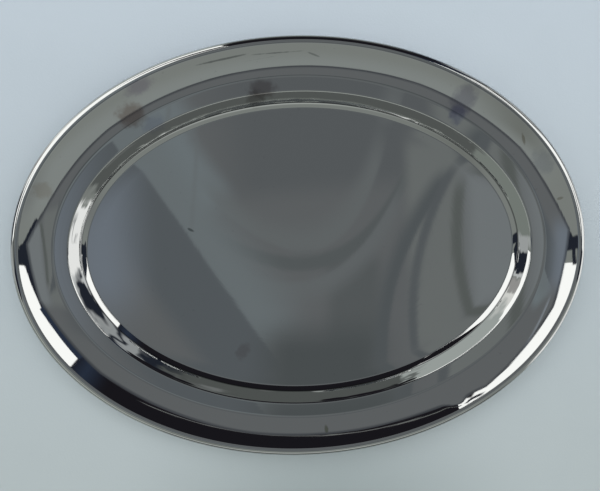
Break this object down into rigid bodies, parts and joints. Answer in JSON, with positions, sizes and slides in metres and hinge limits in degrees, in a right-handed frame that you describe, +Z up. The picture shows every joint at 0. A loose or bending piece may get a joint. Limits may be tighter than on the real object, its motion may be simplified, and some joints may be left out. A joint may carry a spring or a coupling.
{
  "type": "oval serving tray",
  "caption": "Oval serving tray pressed from mirror-polished steel sheet, with a stepped shallow well, a flat flange, an upturned rim and an edge curled over a wire ring.",
  "frame": {"origin": "centre of the tray, on the surface that its flat base rests on", "axes": "+X along the oval's length, +Y across its width, +Z up out of the well"},
  "size_m": [0.3, 0.22, 0.0146],
  "materials": {
    "polished_sheet": "polished",
    "drawn_wire": "satin"
  },
  "bodies": {
    "root": {"tray_pressing": "polished_sheet", "rim_wire": "drawn_wire"}
  },
  "joints": []
}
